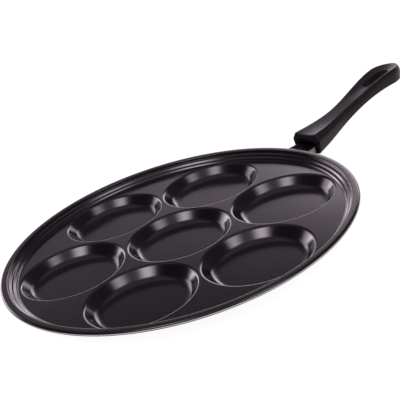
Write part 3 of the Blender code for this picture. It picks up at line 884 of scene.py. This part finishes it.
def build_floor():
    """A pale floor that keeps the shadow and is white to the camera. In reflections it is white too, except
    for a painted shadow under the pan.
    """
    bm = bmesh.new()
    bmesh.ops.create_grid(bm, x_segments=1, y_segments=1, size=FLOOR_SIZE)
    material, n = new_material("studio_floor")
    path = n.add("ShaderNodeLightPath")
    place = n.add("ShaderNodeTexCoord").outputs["Object"]
    distance = n.add("ShaderNodeVectorMath", {0: place}, operation="LENGTH").outputs["Value"]
    # Painted shadow under the pan: the glow that reflections see fades to nothing inside the pan's outline.
    outside_painted_shadow = soft_step(n, distance, PAN_RADIUS, PAN_RADIUS + PAINTED_SHADOW_RUN)
    mirrored = n.math("MULTIPLY", path.outputs["Is Glossy Ray"], outside_painted_shadow)
    seen = n.math("ADD", path.outputs["Is Camera Ray"], mirrored, clamp=True)
    matte = n.add("ShaderNodeBsdfDiffuse", {"Color": FLOOR_COLOUR}).outputs[0]
    tint = n.ramp(path.outputs["Is Camera Ray"], MIRRORED_TINT, grey(1.0), 0.0, 1.0)
    strength = n.math("MULTIPLY", seen, FLOOR_GLOW)
    glow = n.add("ShaderNodeEmission", {"Color": tint, "Strength": strength}).outputs[0]
    both = n.add("ShaderNodeAddShader", {0: matte, 1: glow}).outputs[0]
    finish_material(material, n, both)
    floor = make_object("studio_floor", bm, material)


def direction(azimuth, elevation):
    """A unit vector from degrees: azimuth clockwise from straight behind the pan, and elevation."""
    turned = CAMERA_AZIMUTH + math.pi - math.radians(azimuth)
    up = math.radians(elevation)
    return Vector((math.cos(up) * math.cos(turned), math.cos(up) * math.sin(turned), math.sin(up)))


def along(n, way, axis):
    """How far a direction points along an axis."""
    return n.add("ShaderNodeVectorMath", {0: way, 1: axis}, operation="DOT_PRODUCT").outputs["Value"]


def soft_step(n, value, low, high):
    """0 below low, 1 above high, and smooth between them."""
    inputs = {"Value": value, "From Min": low, "From Max": high}
    return n.add("ShaderNodeMapRange", inputs, interpolation_type="SMOOTHSTEP").outputs[0]


def soft_box(n, way, azimuth, elevation, half_width, half_height, blur, strength):
    """Light of a rectangular soft box that faces the pan, by the direction it is seen in."""
    facing = direction(azimuth, elevation)
    across = facing.cross(Vector((0, 0, 1))).normalized()
    ahead = along(n, way, facing)
    light = soft_step(n, ahead, BOX_FADE_START, BOX_FADE_END)
    for axis, half in ((across, half_width), (across.cross(facing), half_height)):
        slant = n.math("DIVIDE", along(n, way, axis), n.math("MAXIMUM", ahead, BOX_FADE_START))
        inside = n.math("SUBTRACT", math.tan(math.radians(half)), n.math("ABSOLUTE", slant))
        light = n.math("MULTIPLY", light, soft_step(n, inside, -blur, blur))
    return n.math("MULTIPLY", light, strength)


def build_world():
    """Soft studio light: a dim room with soft boxes over the pan and pale panels behind it."""
    world = bpy.data.worlds.new("studio")
    bpy.context.scene.world = world
    world.use_nodes = True
    n = Nodes(world.node_tree)
    way = n.add("ShaderNodeTexCoord").outputs["Generated"]
    total = n.math("MULTIPLY_ADD", along(n, way, direction(90, 0)), ROOM_SLANT)
    total.node.inputs[2].default_value = ROOM
    for box in SOFT_BOXES:
        total = n.math("ADD", total, soft_box(n, way, *box))
    path = n.add("ShaderNodeLightPath")
    light = n.add("ShaderNodeBackground", {"Color": LIGHT_COLOUR, "Strength": total}).outputs[0]
    white = n.add("ShaderNodeBackground", {"Color": (1, 1, 1, 1), "Strength": 1.0}).outputs[0]
    mixed = n.add("ShaderNodeMixShader", {0: path.outputs["Is Camera Ray"], 1: light, 2: white}).outputs[0]
    output = n.add("ShaderNodeOutputWorld")
    world.node_tree.links.new(mixed, output.inputs["Surface"])


def build_camera():
    """The photograph's view: fitted distance, elevation and roll."""
    e, a, r = CAMERA_ELEVATION, CAMERA_AZIMUTH, CAMERA_ROLL
    back = Vector((math.cos(e) * math.cos(a), math.cos(e) * math.sin(a), math.sin(e)))
    level = Vector((-math.sin(a), math.cos(a), 0))
    upright = level.cross(-back)
    right = math.cos(r) * level - math.sin(r) * upright
    up = math.sin(r) * level + math.cos(r) * upright
    scale = CAMERA_DISTANCE / FOCAL_PIXELS
    place = back * CAMERA_DISTANCE - right * (AIM_RIGHT * scale) + up * (AIM_UP * scale)
    place.z += AIM_HEIGHT
    data = bpy.data.cameras.new("camera")
    data.sensor_width = SENSOR_WIDTH
    data.lens = FOCAL_PIXELS / FRAME_PIXELS * data.sensor_width
    data.clip_start = CLIP_START
    camera = bpy.data.objects.new("camera", data)
    bpy.context.scene.collection.objects.link(camera)
    camera.matrix_world = Matrix(
        (
            (right.x, up.x, back.x, place.x),
            (right.y, up.y, back.y, place.y),
            (right.z, up.z, back.z, place.z),
            (0, 0, 0, 1),
        )
    )
    bpy.context.scene.camera = camera


def build():
    """All pieces on the pan's one body, then floor, light and camera."""
    coating = coating_material()
    resin = resin_material()
    steel = steel_material("arm_steel", (0.20, 0.19, 0.20), 0.28, 0.38, (1, 8, 8))
    zinc = steel_material("plated_steel", (0.60, 0.60, 0.62), 0.22, 0.34, (1, 1, 1))
    pieces = (
        (build_pan(coating), "pan_body", "nonstick_coating"),
        (build_bracket(steel), "handle_bracket", "arm_steel"),
        (build_handle(resin), "handle", "handle_resin"),
        (build_screw(zinc), "handle_screw", "plated_steel"),
        (build_washer(zinc), "screw_washer", "plated_steel"),
        (build_nut(zinc), "arm_nut", "plated_steel"),
    )
    for piece, node, slot in pieces:
        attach(piece, "root")
        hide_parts(node)
    build_floor()
    build_world()
    build_camera()
    bpy.context.scene.view_settings.view_transform = "Standard"


build()
